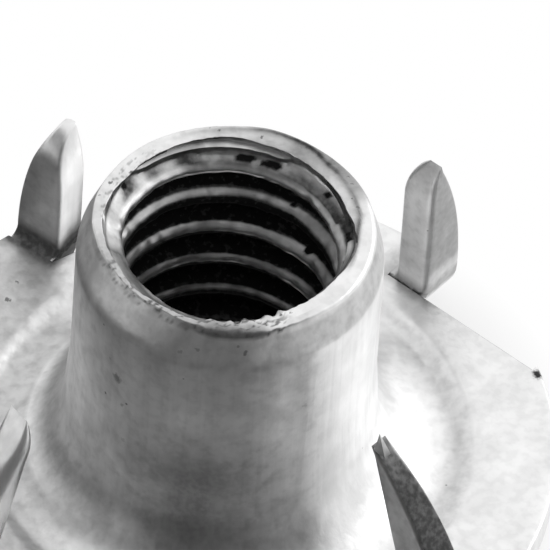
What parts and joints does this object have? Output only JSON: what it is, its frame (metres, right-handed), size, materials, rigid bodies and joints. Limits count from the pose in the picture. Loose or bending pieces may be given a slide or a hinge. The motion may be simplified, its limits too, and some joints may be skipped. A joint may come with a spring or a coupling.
{
  "type": "tee nut",
  "caption": "Stamped steel tee nut: a round flange with prongs folded up from its rim around a threaded barrel, driven into wood to hold a bolt.",
  "frame": {"origin": "centre of the flange's underside, on the barrel's axis", "axes": "+Z along the barrel's axis, from the flange towards the mouth and the prongs' tips; +X and +Y lie in the flange's underside"},
  "size_m": [0.0214, 0.0214, 0.0111],
  "materials": {
    "zinc_steel": "zinc plated steel, tumbled, with faint draw marks up the barrel and small pits"
  },
  "bodies": {
    "root": {"tee_nut": "zinc_steel"}
  },
  "joints": []
}
